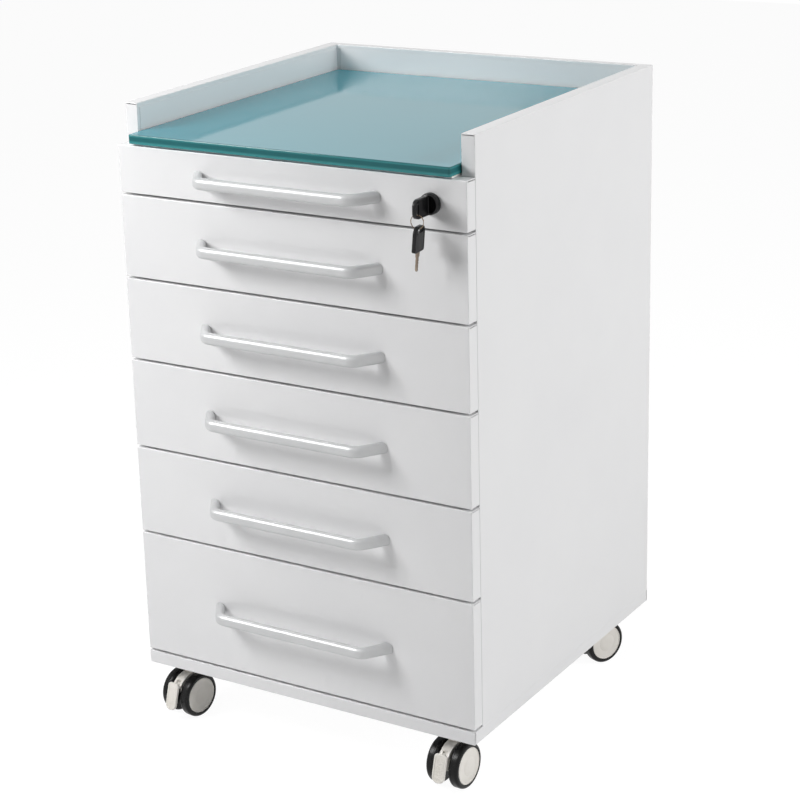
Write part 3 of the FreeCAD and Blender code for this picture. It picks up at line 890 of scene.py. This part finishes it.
@dataclass
class Key:
    """A flat key with a moulded black bow.

    Its own origin is the middle of the slot for the ring. The bow lies square to X, and the
    tip points down.
    """

    name: str
    bow_length: float = 31.0 * MM
    bow_width: float = 23.0 * MM
    bow_thickness: float = 4.5 * MM
    upper_round: float = 8.0 * MM
    lower_round: float = 2.5 * MM
    round_steps: int = 10
    edge: float = 0.8 * MM
    edge_steps: int = 3
    slot_from_end: float = 5.0 * MM
    slot_radius: float = 2.8 * MM
    slot_half: float = 4.5 * MM
    slot_steps: int = 7
    panel_inset: float = 1.5 * MM
    panel_depth: float = 0.35 * MM
    shoulder: Point = (7.0 * MM, 6.5 * MM)
    blade_width: float = 4.6 * MM
    blade_length: float = 24.0 * MM
    blade_thickness: float = 2.0 * MM
    cuts: tuple[float, ...] = (0.9, 0.4, 1.3, 0.6, 1.5, 0.8, 1.1)
    cut_unit: float = 1.0 * MM

    @property
    def bow_foot(self) -> float:
        """The height of the bow's lower end over the origin."""
        return self.slot_from_end - self.bow_length

    def rectangle(self, half: float, top: float, foot: float) -> list[Vector]:
        """The corners of an upright rectangle on the left face of the bow.

        Args:
            half: half its width.
            top: the height of its upper side.
            foot: the height of its lower side.

        Returns:
            The two upper corners, and then the two lower ones.
        """
        x = -self.bow_thickness / 2
        return [
            Vector((x, -half, top)), Vector((x, half, top)),
            Vector((x, half, foot)), Vector((x, -half, foot)),
        ]

    def add_bow(self, bm: BMesh) -> None:
        """Adds the bow, with its slot and a sunk panel on each face.

        Args:
            bm: the mesh.
        """
        outline = rounded_face(
            bm, self.rectangle(self.bow_width / 2, self.slot_from_end, self.bow_foot),
            [self.upper_round] * 2 + [self.lower_round] * 2, self.round_steps,
        )
        radius = self.slot_radius
        slot = rounded_face(
            bm, self.rectangle(self.slot_half + radius, radius, -radius),
            [radius * FULL_ROUND_SHARE] * 4, self.slot_steps,
        )
        edges = [*outline.edges, *slot.edges]
        bmesh.ops.delete(bm, geom=[outline, slot], context="FACES_ONLY")
        filled = bmesh.ops.triangle_fill(
            bm, use_beauty=True, use_dissolve=False, edges=edges, normal=X
        )["geom"]
        thicken(bm, only(BMFace, filled), X * self.bow_thickness)
        bmesh.ops.recalc_face_normals(bm, faces=bm.faces)
        bevel(bm, sharp_edges(bm.faces), self.edge, self.edge_steps)
        flats = [face for face in bm.faces if abs(face.normal.x) > SQUARE]
        for inset, depth in ((self.panel_inset, 0.0), (self.panel_depth, -self.panel_depth)):
            bmesh.ops.inset_region(
                bm, faces=flats, thickness=inset, depth=depth, use_even_offset=True
            )

    def add_blade(self, bm: BMesh) -> None:
        """Adds the shoulder and the cut blade, whose faces take the second material.

        Args:
            bm: the mesh.
        """
        before = set(bm.faces)
        x, half = -self.blade_thickness / 2, self.blade_width / 2
        root, tip = self.bow_foot + self.lower_round, self.bow_foot - self.blade_length
        wide, tall = self.shoulder
        neck, tip_half = self.bow_foot - tall, half / 3
        points = [
            (-wide / 2, root), (-wide / 2, neck), (-half, neck),
            (-half, tip + half), (-tip_half, tip), (tip_half, tip), (half, tip + half),
        ]
        pitch = (neck - tip - half) / (2 * len(self.cuts) + 1)
        for index, cut in enumerate(reversed(self.cuts)):
            level = tip + half + (2 * index + 1) * pitch
            depth = half - cut * self.cut_unit
            points += [(depth, level), (depth, level + pitch / 2), (half, level + 1.4 * pitch)]
        points += [(half, neck), (wide / 2, neck), (wide / 2, root)]
        face = flat_face(bm, [(x, y, z) for y, z in points])
        thicken(bm, [face], X * self.blade_thickness)
        for made in bm.faces:
            if made not in before:
                made.material_index = 1

    def build(self, place: Matrix, body: str, stands_for: tuple[str, ...] = ()) -> None:
        """Builds the key and puts it in place.

        Args:
            place: where its own origin and axes go.
            body: the body that it moves with.
            stands_for: the CAD nodes that it replaces.
        """
        bm = bmesh.new()
        self.add_bow(bm)
        self.add_blade(bm)
        bmesh.ops.transform(bm, matrix=place, verts=bm.verts)
        made = make_piece(bm, self.name, [BLACK_PLASTIC.material(), KEY_NICKEL.material()])
        seat_piece(made, body, stands_for)


@dataclass
class SplitRing:
    """The wire ring of two turns that holds the keys together."""

    strand: float = 0.34 * MM
    strand_steps: int = 12
    pitch: float = 0.7 * MM
    turns: float = 1.97
    steps: int = 150
    sharp_angle: float = 60.0

    def build(self) -> None:
        """Winds the ring in the place of its CAD solid."""
        low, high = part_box("key_ring")
        centre = (low + high) / 2
        radius = (high.z - low.z) / 2 - (high.y - low.y) / 2
        height = self.pitch * self.turns
        start = Matrix.Translation(centre + Vector((radius, -height / 2, 0.0)))
        bm = bmesh.new()
        loop = bmesh.ops.create_circle(
            bm, cap_ends=False, radius=self.strand, segments=self.strand_steps, matrix=start
        )["verts"]
        edges = unique(edge for vert in loop for edge in vert.link_edges)
        bmesh.ops.spin(
            bm, geom=loop + edges, cent=centre, axis=Y,
            dvec=(0, height / self.steps, 0), angle=2 * math.pi * self.turns,
            steps=self.steps, use_merge=False, use_duplicate=False,
        )
        bmesh.ops.holes_fill(bm, edges=[e for e in bm.edges if e.is_boundary], sides=0)
        made = make_piece(bm, "split_ring", [RING_WIRE.material()], self.sharp_angle)
        seat_piece(made, "ring", ("key_ring",))


@dataclass
class Lock:
    """The cam lock with its plug, cam and nut, and two keys on a ring.

    Angles are in degrees. The spare key hangs turned a little away from straight and leans
    a little to the left.
    """

    slot_to_ring: float = 2.0 * MM
    spare_turn: float = 4.0
    spare_lean: float = 5.5
    spare_shift: float = 4.8 * MM
    spare_drop: float = 1.9 * MM

    def key_place(self, ring: Vector, level: float) -> Matrix:
        """Where the key in the lock goes, from the ring's middle and the lock's height."""
        origin = Vector((ring.x, ring.y - self.slot_to_ring, level))
        return Matrix.Translation(origin) @ Matrix.Rotation(math.radians(90), 4, "X")

    def spare_place(self, ring: Vector, bottom: float) -> Matrix:
        """Where the spare key hangs.

        Args:
            ring: the middle of the ring.
            bottom: the height of the ring's lowest wire.

        Returns:
            The key's own place and axes.
        """
        hang = Matrix.Translation(Vector((ring.x, ring.y, bottom)))
        lean = Matrix.Rotation(math.radians(self.spare_lean), 4, "Y")
        turn = Matrix.Rotation(math.radians(self.spare_turn), 4, "Z")
        slide = Matrix.Translation(Vector((0.0, self.spare_shift, -self.spare_drop)))
        return hang @ lean @ turn @ slide

    def build(self) -> None:
        """Dresses the lock's nodes and builds its body, its keys and their ring."""
        dress("lock_plug", BLACK_PLASTIC)
        dress("lock_cam", ZINC)
        dress("lock_nut", ZINC)
        LockBody().build()
        SplitRing().build()
        low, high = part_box("key_ring")
        ring = (low + high) / 2
        level = joint_place("lock_turn").z
        Key("lock_key").build(self.key_place(ring, level), "key", ("key",))
        bottom = low.z + (high.y - low.y) / 2
        Key("spare_key").build(self.spare_place(ring, bottom), "ring")


@dataclass
class Wheel:
    """One wheel of a caster, drawn as (distance from the axle, distance out) pairs."""

    radius: float = 30.0 * MM
    inner: float = 9.5 * MM
    outer: float = 23.2 * MM
    shoulder: float = 3.7 * MM
    inner_steps: int = 6
    outer_steps: int = 8
    bead: float = 22.0 * MM
    cap: float = 24.0 * MM
    cap_out: float = 23.95 * MM
    seat: float = 21.5 * MM
    bore: float = 3.05 * MM
    axle_end: float = 20.0 * MM
    groove: float = 0.35 * MM
    steps: int = 96

    def tyre(self) -> list[Point]:
        """Draws the rubber tyre.

        Returns:
            Its section, closed.
        """
        r, s, g = self.radius, self.shoulder, self.groove
        flank = r - s - 2 * g
        mark = self.inner + s + 2 * g
        return [
            (self.bead, self.seat), (self.bead, self.inner),
            (flank - g, self.inner), (flank, self.inner + g),
            *arc_points((r - s, self.inner + s), s, -90.0, 0.0, self.inner_steps),
            (r, mark), (r - g, mark + g), (r - g, mark + 2 * g), (r, mark + 3 * g),
            *arc_points((r - s, self.outer - s), s, 0.0, 90.0, self.outer_steps),
            (self.cap + 2 * g, self.outer), (self.cap + g / 2, self.outer - g),
            (self.cap + g / 2, self.seat), (self.bead, self.seat),
        ]

    def body(self) -> list[Point]:
        """Draws the wheel's own black body inside the tyre.

        Returns:
            Its section, closed.
        """
        return [
            (self.bore, self.inner), (self.bead, self.inner),
            (self.bead, self.seat), (self.bore, self.seat),
            (self.bore, self.inner),
        ]

    def hub_cap(self) -> list[Point]:
        """Draws the pale cap, with its raised rim and shallow face.

        Returns:
            Its section, from the axle round the rim and back to the axle.
        """
        g, r = self.groove, self.cap
        face = self.cap_out - 2 * g
        return [
            (0.0, self.seat),
            (r, self.seat),
            (r, face - g),
            (r - g, face),
            (r - 2 * g, face + g / 2),
            (r - 4 * g, face + g / 2),
            (r - 5 * g, face - g),
            (r - 6 * g, face - g),
            (0.56 * r, face + 1.1 * g),
            (0.54 * r, face + 0.7 * g),
            (0.52 * r, face + 0.7 * g),
            (0.50 * r, face + 1.3 * g),
            (0.25 * r, face + 1.8 * g),
            (0.0, self.cap_out),
        ]


@dataclass
class Pedal:
    """The ribbed brake pedal of a front caster, with the tongue that it turns on.

    Its top, foot and pin are pairs of a distance along Y from the axle and a height.
    """

    half: float = 9.1 * MM
    thickness: float = 4.0 * MM
    top: Point = (-29.5 * MM, 53.0 * MM)
    foot: Point = (-39.5 * MM, 17.0 * MM)
    top_round: float = 4.6 * MM
    foot_round: float = 8.2 * MM
    round_steps: int = 8
    edge: float = 1.1 * MM
    edge_steps: int = 4
    border: float = 1.3 * MM
    sink: float = 0.7 * MM
    ribs: int = 10
    rib_width: float = 1.1 * MM
    rib_edge_steps: int = 2
    rib_depth_share: float = 0.75
    first_rib_share: float = 0.17
    last_rib_share: float = 0.83
    tongue_half: float = 3.0 * MM
    tongue_height: float = 7.0 * MM
    tongue_depth_share: float = 0.75
    pin: Point = (-17.0 * MM, 46.0 * MM)
    pin_bore: float = 1.56 * MM
    eye_steps: int = 40

    def pad_line(self, axle: Vector) -> tuple[Vector, Vector, Vector, Vector]:
        """Finds the middle line of the pad's outer face.

        Args:
            axle: the middle of the axle.

        Returns:
            Its top, its foot, the direction down it and the direction into the pad.
        """
        top = Vector((0.0, axle.y + self.top[0], self.top[1]))
        foot = Vector((0.0, axle.y + self.foot[0], self.foot[1]))
        along = (foot - top).normalized()
        return top, foot, along, Vector((0.0, -along.z, along.y))

    def add_pad(self, bm: BMesh, axle: Vector) -> None:
        """Adds the pad, with its sunk middle.

        Args:
            bm: the mesh.
            axle: the middle of the axle.
        """
        top, foot, _, inward = self.pad_line(axle)
        side = X * self.half
        face = rounded_face(
            bm, [top - side, top + side, foot + side, foot - side],
            [self.top_round] * 2 + [self.foot_round] * 2, self.round_steps,
        )
        thicken(bm, [face], inward * self.thickness)
        bmesh.ops.recalc_face_normals(bm, faces=bm.faces)
        bevel(bm, sharp_edges(bm.faces), self.edge, self.edge_steps)
        outside = [f for f in bm.faces if f.normal.dot(inward) < -SQUARE]
        bmesh.ops.inset_region(bm, faces=outside, thickness=self.border, depth=0.0)
        bmesh.ops.inset_region(bm, faces=outside, thickness=self.sink / 2, depth=-self.sink)

    def add_ribs(self, bm: BMesh, axle: Vector) -> None:
        """Adds the ribs across the sunk middle of the pad.

        Args:
            bm: the mesh.
            axle: the middle of the axle.
        """
        top, foot, along, inward = self.pad_line(axle)
        length = (foot - top).length
        reach = self.half - self.edge - self.border - self.sink
        first, last = self.first_rib_share * length, self.last_rib_share * length
        turn = Matrix((X, along, inward)).transposed().to_4x4()
        size = Vector((2 * reach, self.rib_width, self.sink))
        for index in range(self.ribs):
            down = first + (last - first) * index / (self.ribs - 1)
            centre = top + along * down + inward * (self.rib_depth_share * self.sink)
            verts = block(bm, Matrix.Translation(centre) @ turn, size)
            edges = unique(edge for vert in verts for edge in vert.link_edges)
            upper = [e for e in edges if all((v.co - centre).dot(inward) < 0 for v in e.verts)]
            bevel(bm, upper, self.rib_width / 4, self.rib_edge_steps)

    def add_tongue(self, bm: BMesh, axle: Vector) -> None:
        """Adds the tongue and its eye round the fork's pin.

        Args:
            bm: the mesh.
            axle: the middle of the axle.
        """
        top, _, along, inward = self.pad_line(axle)
        pin = Vector((0.0, axle.y + self.pin[0], self.pin[1]))
        depth = self.tongue_depth_share * self.thickness
        inner = top + along * self.tongue_height + inward * depth
        x, half, bore = -self.tongue_half, self.tongue_height / 2, self.pin_bore
        eye_side = pin.y - (half + bore) / 2
        face = flat_face(bm, [
            (x, eye_side, pin.z + half), (x, eye_side, pin.z - half),
            (x, inner.y, inner.z - half), (x, inner.y, inner.z + half),
        ])
        thicken(bm, [face], X * (2 * self.tongue_half))
        eye = [(bore, x), (half, x), (half, -x), (bore, -x), (bore, x)]
        spin_profile(bm, eye, pin, X, Z, self.eye_steps)

    def build(self, place: Matrix, axle: Vector, label: str) -> None:
        """Builds the pedal in the place of its CAD solid.

        Args:
            place: the caster's own place and axes.
            axle: the middle of the axle, in the caster's own axes.
            label: the caster's corner.
        """
        bm = bmesh.new()
        self.add_pad(bm, axle)
        self.add_ribs(bm, axle)
        self.add_tongue(bm, axle)
        bmesh.ops.transform(bm, matrix=place, verts=bm.verts)
        made = make_piece(bm, "brake_pedal_" + label, [IVORY_PLASTIC.material()])
        seat_piece(made, "brake_" + label, ("pedal_" + label,))


@dataclass
class Caster:
    """One twin-wheel caster. Its own axes start on the floor under the swivel."""

    corner: Corner
    axle_radius: float = 3.0 * MM
    axle_steps: int = 32
    tyre_sharp_angle: float = 40.0
    hub_sharp_angle: float = 25.0

    def place(self) -> Matrix:
        """Works out where the caster stands.

        Returns:
            The caster's own place and axes.
        """
        swivel = joint_place("swivel_" + self.corner.label)
        ground = Matrix.Translation(Vector((swivel.x, swivel.y, 0.0)))
        return ground @ Matrix.Rotation(self.corner.turn, 4, "Z")

    def build_wheels(self, place: Matrix, axle: Vector) -> None:
        """Builds the tyres, the wheels and the axle in the place of their CAD solids.

        Args:
            place: the caster's own place and axes.
            axle: the middle of the axle, in the caster's own axes.
        """
        label, wheel = self.corner.label, Wheel()
        tyres, hubs = bmesh.new(), bmesh.new()
        for side in Side:
            out = X * side.value
            spin_profile(tyres, wheel.tyre(), axle, out, Z, wheel.steps)
            spin_profile(hubs, wheel.hub_cap(), axle, out, Z, wheel.steps)
            for face in spin_profile(hubs, wheel.body(), axle, out, Z, wheel.steps):
                face.material_index = 1
        end, radius = wheel.axle_end, self.axle_radius
        rod = [(0.0, -end), (radius, -end), (radius, end), (0.0, end)]
        for face in spin_profile(hubs, rod, axle, X, Z, self.axle_steps):
            face.material_index = 2
        for bm in (tyres, hubs):
            bmesh.ops.transform(bm, matrix=place, verts=bm.verts)
        finishes = [TYRE_RUBBER.material()]
        made = make_piece(tyres, "twin_tyres_" + label, finishes, self.tyre_sharp_angle)
        seat_piece(made, "wheels_" + label, ("tyres_" + label,))
        finishes = [IVORY_PLASTIC.material(), WHEEL_BODY.material(), ZINC.material()]
        made = make_piece(hubs, "twin_wheels_" + label, finishes, self.hub_sharp_angle)
        seat_piece(made, "wheels_" + label, ("hubs_" + label,))

    def build(self) -> None:
        """Dresses the fork and builds the wheels and the pedal."""
        label, place = self.corner.label, self.place()
        dress("fork_" + label, IVORY_PLASTIC)
        axle = place.inverted() @ joint_place("spin_" + label)
        self.build_wheels(place, axle)
        if self.corner.braked:
            Pedal().build(place, axle, label)


# The studio


@dataclass
class StudioCamera:
    """The camera at the photograph's viewing angle.

    Angles are in degrees, and the lens and the sensor in millimetres.
    """

    place: Vector = field(default_factory=lambda: Vector((1440.0, -2346.76, 1348.8)) * MM)
    azimuth: float = 33.81
    elevation: float = 17.60
    roll: float = -2.19
    lens: float = 98.35
    sensor: float = 36.0
    shift_x: float = 0.1163
    shift_y: float = -0.049
    nearest: float = 0.05
    farthest: float = 50.0

    def axes(self) -> Matrix:
        """Works out which way the camera looks.

        Returns:
            The camera's own axes.
        """
        azimuth, elevation = math.radians(self.azimuth), math.radians(self.elevation)
        back = Vector((
            math.sin(azimuth) * math.cos(elevation),
            -math.cos(azimuth) * math.cos(elevation),
            math.sin(elevation),
        ))
        right = Vector((math.cos(azimuth), math.sin(azimuth), 0.0))
        up = back.cross(right)
        turn = math.radians(self.roll)
        rolled_right = right * math.cos(turn) + up * math.sin(turn)
        rolled_up = up * math.cos(turn) - right * math.sin(turn)
        return Matrix((rolled_right, rolled_up, back)).transposed().to_4x4()

    def build(self) -> None:
        """Makes the camera and sets it as the scene's own."""
        data = bpy.data.cameras.new("camera")
        data.lens, data.sensor_width = self.lens, self.sensor
        data.shift_x, data.shift_y = self.shift_x, self.shift_y
        data.clip_start, data.clip_end = self.nearest, self.farthest
        camera = bpy.data.objects.new("camera", data)
        camera.matrix_world = Matrix.Translation(self.place) @ self.axes()
        bpy.context.scene.collection.objects.link(camera)
        bpy.context.scene.camera = camera


@dataclass
class Softbox:
    """One soft studio lamp, in metres and watts. Glossy surfaces show a mirrored one."""

    name: str
    place: tuple[float, float, float]
    target: tuple[float, float, float]
    width: float
    height: float
    power: float
    mirrored: bool = False

    def build(self) -> None:
        """Hangs the lamp and points it at its target."""
        data = bpy.data.lights.new(self.name, "AREA")
        data.shape = "RECTANGLE"
        data.size, data.size_y = self.width, self.height
        data.energy = self.power
        lamp = bpy.data.objects.new(self.name, data)
        lamp.visible_glossy = self.mirrored
        place = Vector(self.place)
        turn = (Vector(self.target) - place).to_track_quat("-Z", "Y").to_matrix().to_4x4()
        lamp.matrix_world = Matrix.Translation(place) @ turn
        bpy.context.scene.collection.objects.link(lamp)


@dataclass
class Studio:
    """The floor, the surroundings and the lamps."""

    floor_half: float = 6.0
    floor_colour: Colour = (0.8, 0.8, 0.8)
    floor_roughness: float = 0.9
    floor_specular: float = 0.1
    floor_glow: float = 1.12
    floor_share: float = 0.85
    fill: float = 0.05
    lamps: tuple[Softbox, ...] = (
        Softbox("key_lamp", (-0.9, -1.1, 1.36), (0.0, -0.25, 0.1), 0.6, 0.6, 19.6, True),
        Softbox("side_lamp", (3.0, 0.35, 1.7), (0.2, 0.1, 0.45), 1.8, 1.8, 67.0),
        Softbox("top_lamp", (-0.3, -0.2, 2.8), (0.0, 0.0, 0.75), 1.4, 1.4, 14.0),
        Softbox("low_lamp", (-0.4, -1.5, 0.3), (-0.05, -0.25, 0.15), 0.8, 0.5, 1.8),
    )

    def build_world(self) -> None:
        """Makes the surroundings: white where they are seen, and a soft fill elsewhere."""
        world = bpy.data.worlds.new("studio")
        world.use_nodes = True
        bpy.context.scene.world = world
        tree = world.node_tree
        background = tree.nodes["Background"]
        set_inputs(background, {"Color": WHITE})
        level = tree.nodes.new("ShaderNodeMapRange")
        set_inputs(level, {"To Min": self.fill, "To Max": 1.0})
        join(
            tree,
            (seen_rays(tree), 0, level, "Value"),
            (level, "Result", background, "Strength"),
        )

    def build_floor(self) -> None:
        """Makes the pale floor, which looks white but keeps a faint shadow."""
        material = bpy.data.materials.new("pale_floor")
        material.use_nodes = True
        tree = material.node_tree
        shader = tree.nodes["Principled BSDF"]
        set_inputs(shader, {
            "Base Color": (*self.floor_colour, 1.0),
            "Roughness": self.floor_roughness,
            "Specular IOR Level": self.floor_specular,
        })
        white = tree.nodes.new("ShaderNodeEmission")
        set_inputs(white, {"Color": WHITE, "Strength": self.floor_glow})
        share = math_node(tree, "MULTIPLY")
        set_inputs(share, {1: self.floor_share})
        mix = tree.nodes.new("ShaderNodeMixShader")
        join(
            tree,
            (seen_rays(tree), 0, share, 0),
            (share, 0, mix, "Fac"),
            (shader, 0, mix, 1),
            (white, 0, mix, 2),
            (mix, 0, tree.nodes["Material Output"], "Surface"),
        )
        bm = bmesh.new()
        bmesh.ops.create_grid(bm, x_segments=1, y_segments=1, size=self.floor_half)
        floor = make_piece(bm, "floor", [material])

    def build(self) -> None:
        """Makes the floor, the surroundings and the lamps."""
        self.build_floor()
        self.build_world()
        for lamp in self.lamps:
            lamp.build()
        bpy.context.scene.view_settings.view_transform = "Standard"


def clear_defaults() -> None:
    """Removes the objects that a new file starts with."""
    for name in ("Cube", "Light", "Camera"):
        leftover = bpy.data.objects.get(name)
        if leftover:
            bpy.data.objects.remove(leftover)


def main() -> None:
    """Builds the cabinet's looks and the studio round it."""
    logging.basicConfig(level=logging.INFO, format="%(message)s")
    clear_defaults()
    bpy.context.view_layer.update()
    Carcass().build()
    GlassTop().build()
    for number in DRAWERS:
        Drawer(number).build()
    Lock().build()
    for corner in Corner:
        Caster(corner).build()
    Studio().build()
    StudioCamera().build()


if __name__ == "__main__":
    main()
